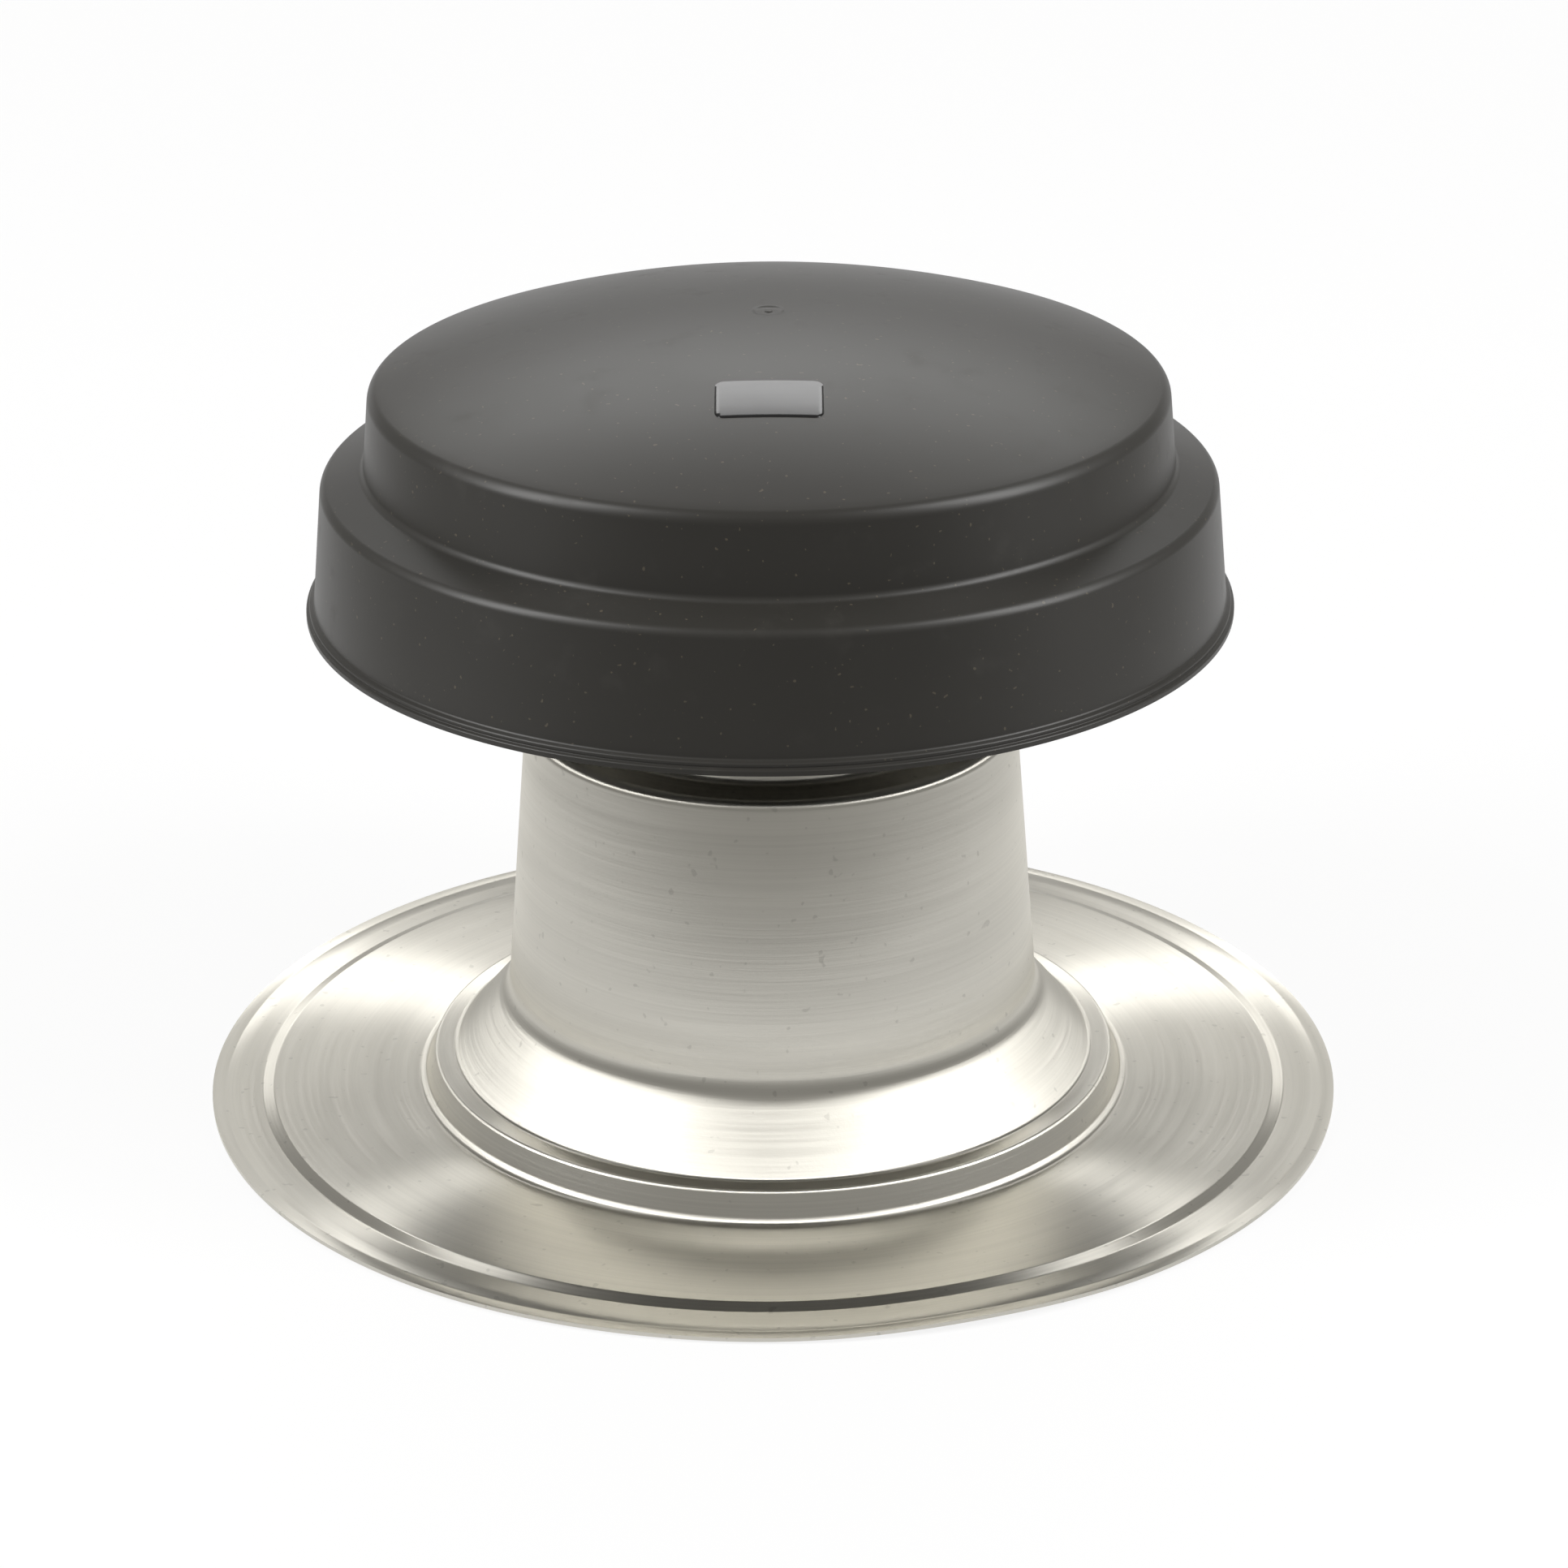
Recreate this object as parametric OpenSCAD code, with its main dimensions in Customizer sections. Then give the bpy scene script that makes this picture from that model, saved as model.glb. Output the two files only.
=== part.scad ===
/* [Flange] */
// Diameter of the flange that is bonded to the roof
flange_d = 430; // [400:1:480]
// Thickness of the spun aluminium sheet
sheet_t = 1.5; // [1:0.1:1.8]
// Width of the flat ring round the rim
rim_w = 19; // [12:0.5:26]
// Height of the low step inside the rim
rim_step_h = 1.7; // [1:0.1:4]
// Width of that step's slope
rim_step_run = 4.5; // [3:0.1:7]

/* [Raised foot] */
// Diameter of the raised foot's sharp edge
foot_d = 258.6; // [250:0.2:290]
// Height of the raised foot's flat top
foot_h = 14.2; // [11:0.1:22]
// How far the foot's steep side leans out
foot_run = 4.6; // [3:0.1:8]
// Width of the flat band on the foot
foot_band_w = 7.8; // [6:0.1:10]
// Slope of the cone between the band and the neck
cone_angle = 50; // [42:1:60]

/* [Neck and collar] */
// Diameter where the neck's side would meet the underside plane
neck_d = 207.2; // [200:0.2:214]
// Taper of the neck on each side
neck_taper = 4.5; // [2:0.1:6]
// Height of the neck's rounded top corner
neck_h = 150.2; // [110:0.2:160]
// Diameter of the duct that the collar takes
duct_d = 150; // [140:1:156]
// Play between the duct and the collar's wall, on each side
duct_play = 2; // [1:0.1:3]
// Rise of the shoulder from the neck to the collar
shoulder_rise = 2.4; // [1:0.1:6]
// Height of the collar's rolled top edge above the brackets' arms
collar_up = 10.4; // [8:0.1:14]
// Radius of the rolled edge
roll_r = 2.6; // [2:0.1:3.4]
// Depth of the bead that stops the duct inside the collar
stop_deep = 2.4; // [1.5:0.1:3]

/* [Rain cap] */
// Diameter of the cap at its rim
cap_d = 342.4; // [330:0.2:360]
// Height of the cap's rim above the roof
cap_rim_h = 194.1; // [180:0.1:200]
// Wall of the moulded cap
cap_wall = 2.6; // [2:0.1:3]
// Draft of the cap's sides
cap_draft = 5; // [3:0.1:6]
// Width of the lip round the rim
lip_w = 3; // [2:0.1:4]
// Height of the lip
lip_h = 4.9; // [4:0.1:6]
// Height of the lower side, from the rim to the ledge's outer corner
skirt_h = 49.2; // [44:0.2:60]
// Width of the ledge
ledge_w = 15.9; // [12:0.1:20]
// Rise of the ledge towards the middle
ledge_rise = 5.6; // [3:0.1:8]
// Height of the upper side
tier_h = 29.3; // [24:0.1:40]
// Rise of the dome above the upper side's corner
dome_rise = 26.9; // [18:0.1:40]
// Width of the moulding gate's dimple on the dome
gate_d = 12.4; // [8:0.2:16]
// Depth of the dimple
gate_deep = 0.6; // [0.3:0.1:1]

/* [Cap's inside] */
// Distance of the screw bosses inside the ledge's outer corner
boss_in = 11.8; // [10:0.1:13]
// Diameter of a screw boss
boss_d = 12; // [11:0.2:13]
// Thickness of the moulded ribs
rib_t = 2; // [1.6:0.1:2.6]
// Depth of the ribs under the dome
rib_deep = 7; // [4:0.2:12]

/* [Brackets] */
// Width of a bracket
bracket_w = 22; // [19:0.5:26]
// Thickness of a bracket's strip
bracket_t = 2; // [1.5:0.1:2.5]
// Height of the arms' upper face above the cap's rim
arm_up = 24.5; // [22:0.1:28]
// Height of a bracket's foot
bracket_foot = 29; // [27:0.5:32]
// Inner radius of the bend
bend_r = 3; // [2:0.1:4]
// Radius of the pressed bead along an arm
bead_r = 5; // [4:0.1:6]
// How far the bead stands above the arm
bead_up = 2.4; // [1.5:0.1:3]

/* [Fasteners] */
// Diameter of a blind rivet
rivet_d = 4.8; // [4:0.1:5]
// Diameter of a rivet's head
rivet_head_d = 9.4; // [8.4:0.1:10]
// Height of a rivet's head
rivet_head_h = 1.6; // [1.2:0.1:2]
// Length of the bulb inside the collar
rivet_tail_h = 3; // [2.4:0.1:3.6]
// Diameter of the bulb
rivet_tail_d = 7; // [6.4:0.1:7.6]
// Distance of the lower rivet from the foot's end
rivet_edge = 6.5; // [6:0.1:7.5]
// Distance between the two rivets of a foot
rivet_pitch = 11; // [10.4:0.1:12]
// Diameter of a cap screw
screw_d = 4.8; // [4:0.1:5.2]
// Diameter of a screw's head
screw_head_d = 9.4; // [8.4:0.1:10]
// Height of a screw's head
screw_head_h = 3; // [2.4:0.1:3.6]
// Length of a screw under its head
screw_l = 20; // [16:0.5:22]
// Outer diameter of a washer
washer_d = 12.4; // [11.4:0.1:14]
// Thickness of a washer
washer_t = 1.1; // [0.8:0.1:1.6]

/* [Bird guard] */
// Depth of the guard's ring inside the collar
guard_deep = 10; // [8:0.2:11]
// Wall of the guard's ring
guard_wall = 2.2; // [1.8:0.1:3]
// Width of a bar of the guard
bar_w = 2; // [1.6:0.1:2.6]
// Height of a bar
bar_h = 4; // [3:0.1:5]
// Clear gap between two rings of bars
bar_gap = 11; // [9:0.2:16]
// Number of spokes
spokes = 12; // [6:1:16]

/* [Hidden] */
$fn = 96;

// Room between pieces that seat on each other, and round a fastener
fit = 0.3;
hole_play = 0.3;
arc_steps = 6;
dome_steps = 20;
rib_steps = 6;
boss_web_up = 6;
over = 1;

// Angles of the three brackets round the vent: rear, front left, front right
bracket_angles = [90, 210, 330];

// Heights that follow from the cap's rim
arm_h = cap_rim_h + arm_up;
collar_h = arm_h + collar_up;

// Radii and heights of the base, from the rim inwards
rim_r = flange_d / 2;
plateau_z = sheet_t + rim_step_h;
foot_r = foot_d / 2;
band_r = foot_r - foot_band_w;
function neck_r(z) = neck_d / 2 - z * tan(neck_taper);
// The cone and the neck meet where their two lines cross
cone_z = (band_r + foot_h / tan(cone_angle) - neck_d / 2) / (1 / tan(cone_angle) - tan(neck_taper));
bore_r = duct_d / 2 + duct_play;
collar_r = bore_r + sheet_t;
// The stop bead ends under the brackets' feet
stop_run = 3.6;
stop_z = arm_h - bracket_foot - stop_run - 1;
// Path of the sheet's upper face: radius, height and rounding of each corner
base_path = [
    [rim_r, sheet_t, 0],
    [rim_r - rim_w, sheet_t, 3],
    [rim_r - rim_w - rim_step_run, plateau_z, 2.5],
    [foot_r + foot_run, plateau_z, 4],
    [foot_r, foot_h, 1.7],
    [band_r, foot_h, 3],
    [neck_r(cone_z), cone_z, 22],
    [neck_r(neck_h), neck_h, 4.5],
    [collar_r, neck_h + shoulder_rise, 4],
    [collar_r, stop_z - stop_run, 2],
    [collar_r - stop_deep, stop_z, 2],
    [collar_r, stop_z + stop_run, 2],
    [collar_r, collar_h - roll_r, 0]
];

// Radii and heights of the cap's outside, from the rim upwards
rim_z = cap_rim_h;
cap_r = cap_d / 2;
lip_z = rim_z + lip_h;
skirt_z = rim_z + skirt_h;
ledge_z = skirt_z + ledge_rise;
corner_z = ledge_z + tier_h;
skirt_low_r = cap_r - lip_w;
skirt_top_r = skirt_low_r - (skirt_z - lip_z) * tan(cap_draft);
boss_r = skirt_top_r - boss_in;
tier_low_r = skirt_top_r - ledge_w;
tier_top_r = tier_low_r - tier_h * tan(cap_draft);
dome_r = (pow(tier_top_r, 2) + pow(dome_rise, 2)) / (2 * dome_rise);
dome_mid_z = corner_z + dome_rise - dome_r;
edge_r = 5.5;
// Middle of the rounding between the upper side and the dome
side_up = [-sin(cap_draft), cos(cap_draft)];
side_out = [cos(cap_draft), sin(cap_draft)];
edge_from = [tier_top_r, corner_z] - edge_r * side_out - [0, dome_mid_z];
edge_lift = -edge_from * side_up
    + sqrt(pow(edge_from * side_up, 2) - edge_from * edge_from + pow(dome_r - edge_r, 2));
edge_mid = [tier_top_r, corner_z] - edge_r * side_out + edge_lift * side_up;
edge_angle = atan2(edge_mid.y - dome_mid_z, edge_mid.x);
side_path = [
    [edge_mid.x + edge_r * side_out.x, edge_mid.y + edge_r * side_out.y, 0],
    [tier_low_r, ledge_z, 3],
    [skirt_top_r, skirt_z, 4],
    [skirt_low_r, lip_z, 1]
];
// Two small ridges run round the lip
ridge_z = rim_z + 0.5 * lip_h;
lip_path = [
    [cap_r - 0.35 * lip_w, lip_z - 0.2 * lip_h, 0.8],
    [cap_r - 0.45 * lip_w, ridge_z, 0.3],
    [cap_r, ridge_z - 0.12 * lip_h, 0.6],
    [cap_r, rim_z, 0]
];

// Places of the brackets' and fasteners' faces
foot_face_r = collar_r + fit;
arm_end_r = boss_r + bracket_w / 2 - 2;
arm_low_z = arm_h - bracket_t;
rivet_low_z = arm_h - bracket_foot + rivet_edge;
rivet_zs = [rivet_low_z, rivet_low_z + rivet_pitch];
pilot_deep = screw_l - washer_t - bracket_t + 3;

// The plain point of a corner that also states its rounding
function flat(v) = [v.x, v.y];
function unit(v) = v / norm(v);
function cross_z(a, b) = a.x * b.y - a.y * b.x;
function spin(v, t) = [v.x * cos(t) - v.y * sin(t), v.x * sin(t) + v.y * cos(t)];
function backward(list) = [for (i = [len(list) - 1:-1:0]) list[i]];

// Points of an arc about a middle, from one angle to another
function arc(mid, rad, a0, a1, steps) = [
    for (i = [0:steps])
        let (a = a0 + (a1 - a0) * i / steps)
        mid + rad * [cos(a), sin(a)]
];

// Replaces the corner b, between a and c, by a tangent arc
function fillet(a, b, c, rad) =
    let (u = unit(a - b), w = unit(c - b), half = acos(u * w) / 2,
         mid = b + unit(u + w) * rad / sin(half),
         from = b + u * rad / tan(half) - mid,
         to = b + w * rad / tan(half) - mid,
         sweep = (180 - 2 * half) * sign(cross_z(from, to)))
    [for (i = [0:arc_steps]) mid + spin(from, sweep * i / arc_steps)];

// Rounds every corner of a path that states a radius
function rounded(path) = [
    for (i = [0:len(path) - 1])
        each (i == 0 || i == len(path) - 1 || path[i].z <= 0) ? [flat(path[i])]
            : fillet(flat(path[i - 1]), flat(path[i]), flat(path[i + 1]), path[i].z)
];

// Moves a path sideways by t, to its left, and keeps its roundings concentric
function shifted(path, t) = [
    for (i = [0:len(path) - 1])
        let (before = flat(path[max(i, 1)]) - flat(path[max(i, 1) - 1]),
             after = flat(path[min(i + 1, len(path) - 1)]) - flat(path[min(i, len(path) - 2)]),
             n1 = spin(unit(before), 90), n2 = spin(unit(after), 90), m = unit(n1 + n2),
             p = flat(path[i]) + m * t / (m * n1))
        [p.x, p.y, path[i].z > 0 ? max(0, path[i].z - t * sign(cross_z(before, after))) : 0]
];

// Outline of a bent sheet whose one face follows the path
function sheet(path, t) = concat(rounded(path), backward(rounded(shifted(path, t))));

module spun_base() {
    color([0.68, 0.66, 0.60])
    difference() {
        rotate_extrude() {
            polygon(sheet(base_path, sheet_t));
            translate([bore_r + roll_r, collar_h - roll_r]) rolled_edge();
        }
        each_rivet() translate([0, 0, -3 * sheet_t]) cylinder(d = rivet_d + 2 * hole_play, h = 6 * sheet_t);
    }
}

// The sheet's edge, curled outwards with a small open core
module rolled_edge() {
    difference() {
        circle(r = roll_r, $fn = 40);
        circle(r = roll_r - sheet_t, $fn = 40);
        translate([-roll_r + sheet_t, -roll_r]) square([roll_r - sheet_t, roll_r]);
    }
}

// Puts its children on each rivet's axis, pointing outwards, with the collar's face at zero
module each_rivet() {
    for (a = bracket_angles, z = rivet_zs)
        rotate([0, 0, a]) translate([collar_r, 0, z]) rotate([0, 90, 0]) children();
}

// Puts its children under each boss, pointing up, with the arm's underside at zero
module each_screw() {
    for (a = bracket_angles)
        rotate([0, 0, a]) translate([boss_r, 0, arm_low_z]) children();
}

function cap_outside() = concat(
    arc([0, dome_mid_z], dome_r, 90, edge_angle, dome_steps),
    arc(edge_mid, edge_r, edge_angle, cap_draft, arc_steps),
    rounded(concat(side_path, lip_path)));

// Outline at a depth under the cap's outside, straight down past the lip
function cap_inside(deep, steps) = concat(
    [[skirt_low_r + (lip_z - rim_z) * tan(cap_draft) - deep / cos(cap_draft), rim_z]],
    backward(rounded(shifted(side_path, -deep))),
    backward(arc(edge_mid, edge_r - deep, edge_angle, cap_draft, arc_steps)),
    backward(arc([0, dome_mid_z], dome_r - deep, 90, edge_angle, steps)));

module rain_cap() {
    color([0.15, 0.145, 0.13])
    difference() {
        union() {
            rotate_extrude() polygon(concat(cap_outside(), cap_inside(cap_wall, dome_steps)));
            intersection() {
                rotate_extrude() polygon(concat([[0, rim_z]], cap_inside(cap_wall / 2, rib_steps)));
                union() {
                    cap_ribs();
                    for (a = bracket_angles) rotate([0, 0, a]) screw_boss();
                }
            }
        }
        each_screw() translate([0, 0, bracket_t - over])
            cylinder(d = screw_d + 2 * fit, h = pilot_deep + over);
        gate_dimple();
    }
}

// A shallow dish where the moulding was fed, with a small nub left in it
module gate_dimple() {
    top_z = dome_mid_z + dome_r;
    difference() {
        translate([0, 0, top_z - gate_deep]) cylinder(d1 = gate_d - 2, d2 = gate_d, h = gate_deep + over);
        translate([0, 0, top_z - gate_deep - over]) cylinder(d = gate_d / 5, h = gate_deep + 0.7 * over);
    }
}

// A boss that hangs from the ledge, with a web to the skirt and a cross web
module screw_boss() {
    tall = skirt_z - arm_h;
    translate([boss_r, 0, arm_h]) cylinder(d = boss_d, h = 2 * tall);
    translate([boss_r, -rib_t / 2, arm_h + boss_web_up]) cube([tall, rib_t, tall]);
    translate([boss_r - rib_t / 2, -boss_d, arm_h + 2 * boss_web_up]) cube([rib_t, 2 * boss_d, tall]);
}

// Six ribs under the dome, from a small hub to the upper side
module cap_ribs() {
    rib_low = dome_r - cap_wall - rib_deep;
    rib_end = acos((tier_top_r - cap_wall - rib_deep) / rib_low);
    difference() {
        union() {
            for (a = [0:60:300])
                rotate([0, 0, a + 30]) translate([0, -rib_t / 2, ledge_z])
                    cube([cap_r, rib_t, tier_h + dome_rise]);
            translate([0, 0, ledge_z]) cylinder(r = gate_d, h = tier_h + dome_rise);
        }
        rotate_extrude() polygon(concat(
            [[0, rim_z], [skirt_low_r, rim_z], [skirt_low_r, ledge_z + rib_deep],
             [tier_low_r - cap_wall, ledge_z + rib_deep]],
            backward(arc([0, dome_mid_z], rib_low, 90, rib_end, rib_steps))));
        translate([0, 0, ledge_z]) cylinder(r = gate_d - rib_t, h = tier_h + dome_rise);
    }
}

// A bent strip: its foot follows the collar, its arm reaches out under a boss
module bracket(angle) {
    foot_low_z = arm_h - bracket_foot;
    profile = sheet([
        [foot_face_r, foot_low_z, 0],
        [foot_face_r, arm_h, bend_r + bracket_t],
        [arm_end_r, arm_h, 0]
    ], -bracket_t);
    bead_from = foot_face_r + bracket_t + bend_r + bead_r + 6;
    bead_to = boss_r - boss_d / 2 - bead_r - 4;
    color([0.70, 0.70, 0.70])
    rotate([0, 0, angle])
    difference() {
        union() {
            intersection() {
                rotate_extrude() polygon(profile);
                union() {
                    translate([0, -bracket_w / 2, foot_low_z - over])
                        cube([arm_end_r - bracket_w / 2, bracket_w, bracket_foot + 2 * over]);
                    translate([arm_end_r - bracket_w / 2, 0, foot_low_z - over])
                        cylinder(d = bracket_w, h = bracket_foot + 2 * over);
                }
            }
            arm_bead(bead_from, bead_to, bead_r, arm_low_z);
        }
        arm_bead(bead_from, bead_to, bead_r - bracket_t, arm_low_z - over);
        translate([boss_r, 0, arm_low_z - over])
            cylinder(d = screw_d + 2 * hole_play, h = bracket_t + 2 * over);
        for (z = rivet_zs)
            translate([foot_face_r - over, 0, z]) rotate([0, 90, 0])
                cylinder(d = rivet_d + 2 * hole_play, h = bracket_t + 2 * over);
    }
}

// The bead's round back, cut off level with a height
module arm_bead(from, to, rad, low_z) {
    axis_z = arm_h + bead_up - bead_r;
    intersection() {
        union() {
            translate([from, 0, axis_z]) rotate([0, 90, 0]) cylinder(r = rad, h = to - from);
            translate([from, 0, axis_z]) sphere(r = rad);
            translate([to, 0, axis_z]) sphere(r = rad);
        }
        translate([from - 2 * rad, -2 * rad, low_z]) cube([to - from + 4 * rad, 4 * rad, 4 * rad]);
    }
}

module rear_bracket() bracket(bracket_angles[0]);
module left_bracket() bracket(bracket_angles[1]);
module right_bracket() bracket(bracket_angles[2]);

// Blind rivets: a low head on the bracket, a bulb inside the collar
module bracket_rivets() {
    head_low = fit + bracket_t + fit / 2;
    tail_end = -sheet_t - fit;
    dome = (pow(rivet_head_d / 2, 2) + pow(rivet_head_h, 2)) / (2 * rivet_head_h);
    color([0.62, 0.62, 0.62])
    each_rivet() {
        rotate_extrude() polygon(concat(
            arc([0, head_low + rivet_head_h - dome], dome, 90, asin((dome - rivet_head_h) / dome), arc_steps),
            [[rivet_d / 2, head_low], [rivet_d / 2, tail_end], [rivet_tail_d / 2, tail_end],
             [rivet_tail_d / 2, tail_end - 0.7 * rivet_tail_h],
             [rivet_d / 2, tail_end - rivet_tail_h], [0, tail_end - rivet_tail_h]]));
    }
}

// Pan-head screws that come up through the washer and the arm
module cap_screws() {
    head_top = -washer_t;
    rounding = 1.4;
    color([0.55, 0.55, 0.55])
    each_screw() difference() {
        rotate_extrude() polygon(concat(
            [[0, head_top + screw_l], [screw_d / 2 - 1.2, head_top + screw_l],
             [screw_d / 2, head_top + screw_l - 3], [screw_d / 2, head_top], [screw_head_d / 2, head_top]],
            arc([screw_head_d / 2 - rounding, head_top - screw_head_h + rounding], rounding, 0, -90, arc_steps),
            [[0, head_top - screw_head_h]]));
        for (a = [45, 135])
            rotate([0, 0, a]) translate([-2.6, -0.5, head_top - screw_head_h - over])
                cube([5.2, 1, 1.6 + over]);
    }
}

module cap_washers() {
    color([0.60, 0.60, 0.60])
    each_screw() translate([0, 0, -washer_t]) difference() {
        cylinder(d = washer_d, h = washer_t);
        translate([0, 0, -over]) cylinder(d = screw_d + 2 * hole_play, h = washer_t + 2 * over);
    }
}

// A moulded ring with rings and spokes of thin bars, pushed into the collar's mouth
module bird_guard() {
    ring_r = bore_r - fit;
    inner_r = ring_r - guard_wall;
    seat_z = collar_h + fit;
    low_z = seat_z - guard_deep;
    pitch = bar_w + bar_gap;
    color([0.17, 0.17, 0.16]) {
        rotate_extrude() polygon([
            [inner_r, low_z], [ring_r - 0.8, low_z], [ring_r, low_z + 2.4], [ring_r, seat_z],
            [collar_r + roll_r, seat_z], [collar_r + roll_r, seat_z + 1.2],
            [collar_r + roll_r - 0.8, seat_z + 2], [inner_r, seat_z + 2]]);
        rotate_extrude()
            for (r = [pitch:pitch:inner_r - bar_w])
                translate([r - bar_w / 2, low_z]) square([bar_w, bar_h]);
        for (i = [0:spokes - 1])
            rotate([0, 0, i * 360 / spokes]) translate([pitch, -bar_w / 2, low_z])
                cube([inner_r + guard_wall / 2 - pitch, bar_w, bar_h]);
    }
}

spun_base();
rain_cap();
rear_bracket();
left_bracket();
right_bracket();
bracket_rivets();
cap_screws();
cap_washers();
bird_guard();
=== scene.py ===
"""Flat roof vent: the looks that go around the packed part."""

import math

import bmesh
import bpy
from mathutils import Matrix, Vector


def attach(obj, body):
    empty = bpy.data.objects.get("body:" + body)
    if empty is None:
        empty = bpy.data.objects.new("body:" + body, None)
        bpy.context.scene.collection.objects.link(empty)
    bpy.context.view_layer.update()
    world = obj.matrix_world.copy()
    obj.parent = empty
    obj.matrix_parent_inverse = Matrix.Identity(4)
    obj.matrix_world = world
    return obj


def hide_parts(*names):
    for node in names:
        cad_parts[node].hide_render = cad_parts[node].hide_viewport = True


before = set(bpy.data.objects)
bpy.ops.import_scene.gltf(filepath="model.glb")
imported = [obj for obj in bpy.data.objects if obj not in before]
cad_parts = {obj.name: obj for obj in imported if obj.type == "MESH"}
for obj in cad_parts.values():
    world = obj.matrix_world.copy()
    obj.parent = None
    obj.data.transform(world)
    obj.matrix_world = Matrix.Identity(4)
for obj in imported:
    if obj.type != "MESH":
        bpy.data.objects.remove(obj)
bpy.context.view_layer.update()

bl_info = {
    "name": "Flat roof vent",
    "version": (1, 0, 0),
    "blender": (4, 5, 0),
    "location": "3D View > Sidebar > Roof vent",
    "description": "Builds a spun aluminium roof vent with a moulded rain cap",
    "category": "Object",
}

BODY = "root"
MM = 0.001
TURN_STEPS = 256
ARC_STEPS = 8
DOME_STEPS = 36


def length(name, description, default):
    """A length in metres, given in millimetres."""
    return bpy.props.FloatProperty(
        name=name, description=description, default=default * MM, subtype="DISTANCE", unit="LENGTH", precision=5
    )


def angle(name, description, default):
    """An angle, given in degrees."""
    return bpy.props.FloatProperty(
        name=name, description=description, default=math.radians(default), subtype="ANGLE", unit="ROTATION"
    )


def colour(name, description, default):
    """A linear colour."""
    return bpy.props.FloatVectorProperty(
        name=name, description=description, default=default, size=3, min=0, max=1, subtype="COLOR"
    )


def share(name, description, default):
    """A number from 0 to 1."""
    return bpy.props.FloatProperty(name=name, description=description, default=default, min=0, max=1, subtype="FACTOR")


class BaseSizes(bpy.types.PropertyGroup):
    """Sizes of the spun base."""

    flange_d: length("Flange diameter", "Diameter of the bonding flange", 430)
    sheet_t: length("Sheet", "Thickness of the spun sheet", 1.5)
    rim_w: length("Rim width", "Width of the flat ring round the rim", 19)
    rim_step_h: length("Rim step", "Height of the low step inside the rim", 1.7)
    rim_step_run: length("Rim step run", "Width of the step's slope", 4.5)
    foot_d: length("Foot diameter", "Diameter of the raised foot's sharp edge", 258.6)
    foot_h: length("Foot height", "Height of the raised foot's flat top", 14.2)
    foot_run: length("Foot run", "How far the foot's steep side leans out", 4.6)
    foot_band_w: length("Foot band", "Width of the flat band on the foot", 7.8)
    cone_angle: angle("Cone slope", "Slope between the band and the neck", 50)
    neck_d: length("Neck diameter", "Diameter where the neck's side would meet the underside plane", 207.2)
    neck_taper: angle("Neck taper", "Taper of the neck on each side", 4.5)
    neck_h: length("Neck height", "Height of the neck's rounded top corner", 150.2)
    bore_r: length("Bore radius", "Inner radius of the duct collar", 77)
    shoulder_rise: length("Shoulder rise", "Rise from the neck to the collar", 2.4)
    stop_z: length("Stop bead height", "Height of the bead that stops the duct", 185)
    stop_run: length("Stop bead run", "Half of the stop bead's height", 3.6)
    stop_deep: length("Stop bead depth", "Depth of the stop bead", 2.4)
    collar_h: length("Collar height", "Height of the rolled top edge", 229)
    roll_r: length("Roll radius", "Radius of the rolled edge", 2.6)
    rim_line_in: length("Rim line", "Distance of the fine turned line from the rim", 5)
    rim_line_w: length("Rim line width", "Half the width of the fine turned line", 0.5)
    rim_line_deep: length("Rim line depth", "Depth of the fine turned line", 0.12)
    warp_up: length("Rim lift", "How far the front of the rim is bent up", 2.0)
    warp_out: length("Rim spread", "How far the rim's right front stands out", 0.8)


class CapSizes(bpy.types.PropertyGroup):
    """Sizes of the rain cap."""

    cap_d: length("Cap diameter", "Diameter at the rim", 342.4)
    rim_h: length("Rim height", "Height of the rim above the roof", 194.1)
    wall: length("Wall", "Wall of the moulding", 2.6)
    draft: angle("Draft", "Draft of the cap's sides", 5)
    lip_w: length("Lip width", "Width of the lip round the rim", 3)
    lip_h: length("Lip height", "Height of the lip", 4.9)
    skirt_h: length("Skirt height", "Height from the rim to the ledge's outer corner", 49.2)
    ledge_w: length("Ledge width", "Width of the ledge", 15.9)
    ledge_rise: length("Ledge rise", "Rise of the ledge towards the middle", 5.6)
    tier_h: length("Upper side", "Height of the upper side", 29.3)
    dome_rise: length("Dome rise", "Rise of the dome above the upper side", 26.9)
    edge_r: length("Dome edge", "Rounding between the upper side and the dome", 5.5)
    gate_d: length("Gate dimple", "Width of the moulding gate's dimple", 12.4)
    gate_deep: length("Dimple depth", "Depth of the dimple", 0.6)
    boss_r: length("Boss distance", "Distance of the screw bosses from the middle", 152.52)
    boss_d: length("Boss diameter", "Diameter of a screw boss", 12)
    boss_low: length("Boss height", "Height of the bosses' lower faces", 218.6)
    boss_web_up: length("Web height", "How far the webs stand back from a boss's face", 6)
    pilot_d: length("Pilot hole", "Diameter of the screws' pilot holes", 5.4)
    pilot_deep: length("Pilot depth", "Depth of the pilot holes", 19.9)
    rib_t: length("Rib", "Thickness of the moulded ribs", 2)
    rib_deep: length("Rib depth", "Depth of the ribs under the dome", 7)


class PlateSizes(bpy.types.PropertyGroup):
    """Sizes of the bare plate on the dome."""

    width: length("Width", "Width of the plate", 38.4)
    depth: length("Depth", "Front-to-back size of the plate", 25.4)
    corner: length("Corner", "Radius of the plate's corners", 3.6)
    thick: length("Thickness", "Height of the plate over the dome", 0.25)
    forward: length("Forward", "Distance of the plate's middle in front of the dome's", 78)


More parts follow.
